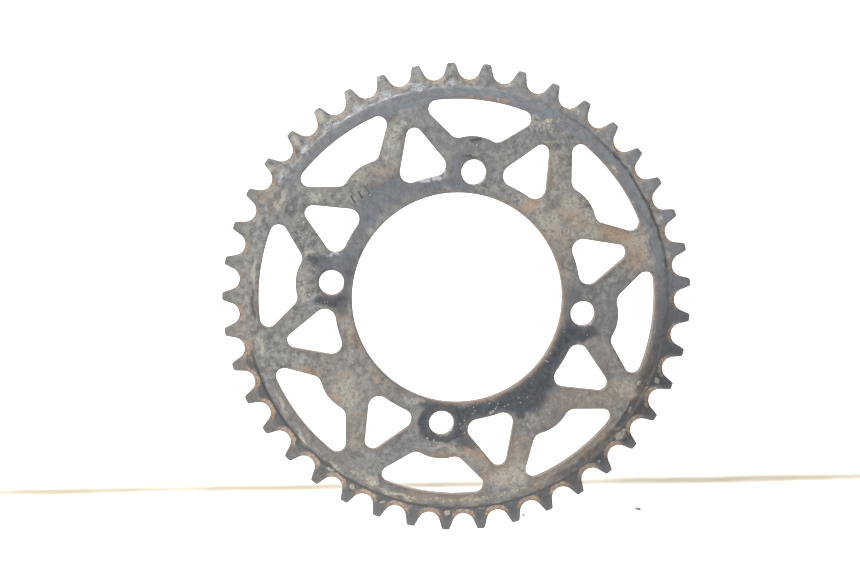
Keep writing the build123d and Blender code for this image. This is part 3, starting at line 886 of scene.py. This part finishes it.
def lay_steel(skin, medium, swept):
    """Weathered steel: mottled and flecked, with brown film, darker places, pale film, and grime that also
    carries painted shade.
    """
    skin.colour = skin.blend(skin.ramp(medium, 0.34, 0.66), (85, 86, 87), (145, 143, 138))
    skin.lay(skin.ramp(skin.noise(11), 0.4, 0.7, 0, 0.4), (146, 146, 142))
    skin.lay(skin.ramp(skin.noise(1.5, 6, 0.75, 2.2), 0.54, 0.68, 0, 0.6), (84, 84, 84))
    skin.lay(skin.ramp(skin.noise(0.8, 4, 0.7, 4.2), 0.56, 0.68, 0, 0.5), (170, 168, 160))
    skin.lay(skin.ramp(skin.noise(0.55, 2, 0.6, 9.4), 0.58, 0.7, 0, 0.5), (80, 78, 77))
    skin.lay(skin.ramp(skin.noise(4, 6, 0.7, 1.9), 0.46, 0.66, 0, 0.22), (130, 121, 112))
    skin.lay(skin.times(skin.mask("brown"), skin.ramp(medium, 0.25, 0.65, 0.15, 0.6)), (139, 126, 115))
    skin.lay(skin.times(skin.mask("shade"), skin.ramp(medium, 0.2, 0.7, 1.0, 0.75)), (90, 92, 95), 0.8)
    skin.lay(skin.broken("pale", swept, 0.4, 0.9, 2.2), (166, 161, 149), 0.75)
    # grime and painted shade: dark blotches, bolt rings, the step's dark line, darker bottom teeth and darker
    # strokes
    skin.lay(skin.broken("grime_and_shade", swept, 0.3, 0.8, 1.0), (58, 59, 61), 0.85)


def lay_paint_with_painted_light(skin, medium, swept):
    """What is left of the black paint, with a painted sheen where the lamp would reflect in it and painted
    light along its edges. Returns where it lies.
    """
    paint = skin.broken("paint", medium, 0.2, 0.8, 0.8)
    mottle = skin.ramp(skin.mean(medium, swept), 0.35, 0.65)
    dark = skin.blend(mottle, (52, 56, 62), (74, 79, 85))
    # a lighter copy of the paint for the painted sheen
    sheen_lit_paint = skin.blend(mottle, (116, 119, 124), (141, 144, 149))
    skin.lay(paint, skin.blend(skin.mask("painted_sheen"), dark, sheen_lit_paint), 0.92)
    # painted light along the edges of the paint
    skin.lay(skin.times(skin.mask("painted_edge_light"), paint), (128, 127, 126), 0.3)
    return paint


def lay_rust(skin, medium, small):
    """Brown stains, rust, the bevels of the tooth gaps, and cut edges made darker, partly grime and partly
    painted shade of their rounding. Returns where rust lies.
    """
    stained = skin.ramp(skin.noise(1.6, 5, 0.7, 8.9), 0.45, 0.64, 0.08, 0.6)
    skin.lay(skin.times(skin.mask("brown"), stained), (130, 107, 86))
    rust = skin.broken("rust", skin.mean(small, medium), 0.35, 0.95, 2.2)
    skin.lay(rust, skin.blend(skin.ramp(medium, 0.35, 0.65), (134, 108, 87), (161, 138, 114)), 0.7)
    mottle = skin.ramp(small, 0.35, 0.65)
    crescent = skin.broken("crescent", small, 0.35, 0.95, 1.4)
    skin.lay(crescent, skin.blend(mottle, (122, 100, 82), (174, 150, 126)), 0.85)
    # cut edges darker: partly grime, partly painted shade of their rounding
    skin.lay(skin.times(skin.mask("edge"), skin.ramp(medium, 0.3, 0.7, 0.2, 0.7)), (92, 84, 78))
    wall = skin.ramp(skin.mask("wall"), 0.35, 0.9)
    skin.lay(wall, skin.blend(mottle, (112, 94, 80), (152, 136, 120)), 0.9)
    return rust


def lay_dirt_shade_and_glints(skin, medium, swept):
    """Crumbly dust, specks, a dark line in the step that is partly dirt and partly painted shade, painted
    glints of light, and pits. Returns where dust lies.
    """
    dust = skin.broken("dust", swept, 0.5, 0.95, 1.2)
    crumbs = skin.ramp(skin.noise(0.7, 3, 0.7, 5.1), 0.36, 0.62)
    skin.lay(dust, skin.blend(crumbs, (104, 99, 86), (184, 178, 160)), 0.85)
    dots = skin.add("ShaderNodeTexVoronoi", {"Vector": skin.place, "Scale": 1000 / 1.15, "Randomness": 1.0})
    dot = skin.ramp(dots.outputs["Distance"], 0.24, 0.13)
    skin.lay(skin.times(dot, skin.broken("speck", medium, 0.45, 0.6, 1.4)), (198, 196, 188), 0.8)
    # the step's dark line: partly dirt, partly painted shade
    skin.lay(skin.broken("step_crevice_dirt_and_shade", medium, 0.45, 0.95, 2.6), (52, 51, 51), 0.8)
    # painted highlights: glints and lit lips laid on as near-white colour
    glint_grain = skin.mean(swept, skin.noise(0.6, 3, 0.7, 6.3))
    skin.lay(skin.broken("painted_gleam", glint_grain, 0.55, 0.95, 3.2), (194, 199, 206), 0.6)
    pits = skin.ramp(skin.noise(1.1, 3, 0.6, 7.7), 0.6, 0.68)
    skin.lay(skin.times(skin.mask("pitted"), pits), (66, 62, 60), 0.75)
    return dust


def worn_steel():
    """Black paint worn to weathered steel, with rust, dirt and grime where the masks put them, and painted
    sheen, highlights, light and shade.
    """
    skin = Surface("worn_steel")
    medium, small = skin.noise(2.4, 6, 0.7, 0.3), skin.noise(1.0, 4, 0.65, 0.7)
    streaks, on_rim = skin.streaks(3.2, 0.45)
    swept = skin.math("MULTIPLY_ADD", on_rim, skin.math("SUBTRACT", streaks, small), small)
    lay_steel(skin, medium, swept)
    paint = lay_paint_with_painted_light(skin, medium, swept)
    rust = lay_rust(skin, medium, small)
    dust = lay_dirt_shade_and_glints(skin, medium, swept)
    # painted light and shade: the colour's brightness is scaled by the mask of painted light and shade
    light_toned = skin.add("ShaderNodeHueSaturation", {"Value": skin.mask("painted_light_tone"), "Color": skin.colour})
    skin.feed("Base Color", light_toned.outputs[0])

    grain = skin.noise(0.4, 2, 0.6, 1.1)
    dull = skin.math("MAXIMUM", skin.math("MAXIMUM", rust, dust), skin.mask("painted_gleam"))
    gloss = skin.math("SUBTRACT", paint, dull, clamp=True)
    roughness = skin.ramp(gloss, 0, 1, 0.62, 0.3)
    skin.feed("Roughness", skin.math("MULTIPLY_ADD", skin.math("SUBTRACT", grain, 0.5), 0.25, roughness))

    pits = skin.ramp(skin.noise(0.9, 3, 0.7, 3.1), 0.62, 0.72, 1, 0)
    relief = skin.times(grain, 0.35)
    for layer, height in ((pits, 0.5), (paint, 0.6), (dust, 0.9)):
        relief = skin.math("MULTIPLY_ADD", layer, height, relief)
    bump = skin.add("ShaderNodeBump", {"Height": relief, "Strength": 0.7, "Distance": 0.07 * MM})
    skin.feed("Normal", bump.outputs[0])
    return skin.material


def beige_floor_line(skin):
    """How strongly the line across the floor shows: slanted, soft-edged, wavy and patchy."""
    place = skin.add("ShaderNodeSeparateXYZ", {0: skin.place}).outputs
    slanted = skin.math("MULTIPLY_ADD", place["X"], -LINE_SLOPE, place["Y"])
    wave = skin.times(skin.math("SUBTRACT", skin.noise(30, 4, 0.6), 0.5), 8 * MM)
    off_line = skin.math("ABSOLUTE", skin.math("ADD", skin.math("SUBTRACT", slanted, LINE_Y * MM), wave))
    patchy = skin.ramp(skin.noise(50), 0.35, 0.6, 0.85, 1)
    return skin.times(skin.ramp(off_line, LINE_HALF_WIDTH * MM, 0.0), patchy)


def pale_surface(name, colour, has_line=False):
    """A softly mottled off-white sheet that also glows a little, as an overexposed backdrop does."""
    skin = Surface(name)
    skin.colour = skin.blend(skin.noise(60), tuple(level - 3 for level in colour), colour)
    if has_line:
        skin.lay(beige_floor_line(skin), (160, 150, 131))
    skin.feed("Base Color", skin.colour)
    skin.feed("Roughness", 0.9)
    skin.feed("Emission Color", skin.colour)
    skin.feed("Emission Strength", 0.95)
    return skin.material


def dark_crumb(name, shade):
    """A fleck of dried dirt."""
    skin = Surface(name)
    lighter = (shade + 30, shade + 26, shade + 20)
    skin.feed("Base Color", skin.blend(skin.noise(0.8), (shade, shade, shade), lighter))
    skin.feed("Roughness", 0.9)
    return skin.material


plate = bpy.data.objects.new("worn_plate", plate_mesh())
bpy.context.scene.collection.objects.link(plate)
plate.data.materials.append(worn_steel())
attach(plate, "root")
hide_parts("sprocket_plate")
low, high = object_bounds()
floor_z = low.z / MM

# ---- camera, backdrop and light ----

camera = bpy.data.objects.new("camera", bpy.data.cameras.new("camera"))
bpy.context.scene.collection.objects.link(camera)
bpy.context.scene.camera = camera
camera.data.lens = CAMERA_LENS
camera.data.sensor_width = CAMERA_SENSOR
camera.location = Vector(CAMERA_PLACE) * MM
to_right, tilt, roll = math.radians(CAMERA_TURN), math.radians(CAMERA_TILT), math.radians(CAMERA_ROLL)
ahead = Vector((math.sin(to_right) * math.cos(tilt), math.cos(to_right) * math.cos(tilt), math.sin(tilt)))
camera.rotation_euler = (ahead.to_track_quat("-Z", "Y") @ Quaternion((0, 0, 1), roll)).to_euler()


def sheet(name, corners, material):
    """A flat piece of the backdrop, from its corners in millimetres."""
    mesh = bpy.data.meshes.new(name)
    mesh.from_pydata([Vector(corner) * MM for corner in corners], [], [tuple(range(len(corners)))])
    mesh.materials.append(material)
    piece = bpy.data.objects.new(name, mesh)
    bpy.context.scene.collection.objects.link(piece)
    piece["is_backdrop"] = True


def across(half_width, y):
    """The left and right ends of a line across the floor."""
    return Vector((-half_width, y, floor_z)), Vector((half_width, y, floor_z))


front_left, front_right = across(FLOOR_FRONT_HALF_WIDTH, FLOOR_FRONT_Y)
back_left, back_right = across(WALL_HALF_WIDTH, WALL_Y)
up = Vector((0, 0, WALL_HEIGHT))
sheet("wall", [back_left, back_right, back_right + up, back_left + up], pale_surface("wall", (250, 251, 253)))
sheet("floor", [front_left, front_right, back_right, back_left], pale_surface("floor", (253, 252, 250), True))
crumb_angles = [math.radians(36 * k) for k in range(10)]
for number, (x, y, long, wide, shade) in enumerate(CRUMBS):
    rim = [(long * math.cos(a) * (1 + 0.3 * math.sin(5 * a + x)), wide * math.sin(a)) for a in crumb_angles]
    corners = [(x + dx, y + dy, floor_z + CRUMB_LIFT) for dx, dy in rim]
    sheet(f"crumb_{number}", corners, dark_crumb(f"crumb_{number}", shade))

world = bpy.data.worlds.new("soft_room")
bpy.context.scene.world = world
world.use_nodes = True
world.node_tree.nodes["Background"].inputs["Color"].default_value = ROOM_COLOUR
world.node_tree.nodes["Background"].inputs["Strength"].default_value = ROOM_STRENGTH
bpy.context.scene.view_settings.view_transform = "Standard"

lamp = bpy.data.objects.new("ceiling_light", bpy.data.lights.new("ceiling_light", "AREA"))
lamp.data.size = LAMP_SIZE
lamp.data.energy = LAMP_ENERGY
lamp.location = LAMP_PLACE
lamp.rotation_euler = (-lamp.location).to_track_quat("-Z", "Y").to_euler()
bpy.context.scene.collection.objects.link(lamp)

low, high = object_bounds()
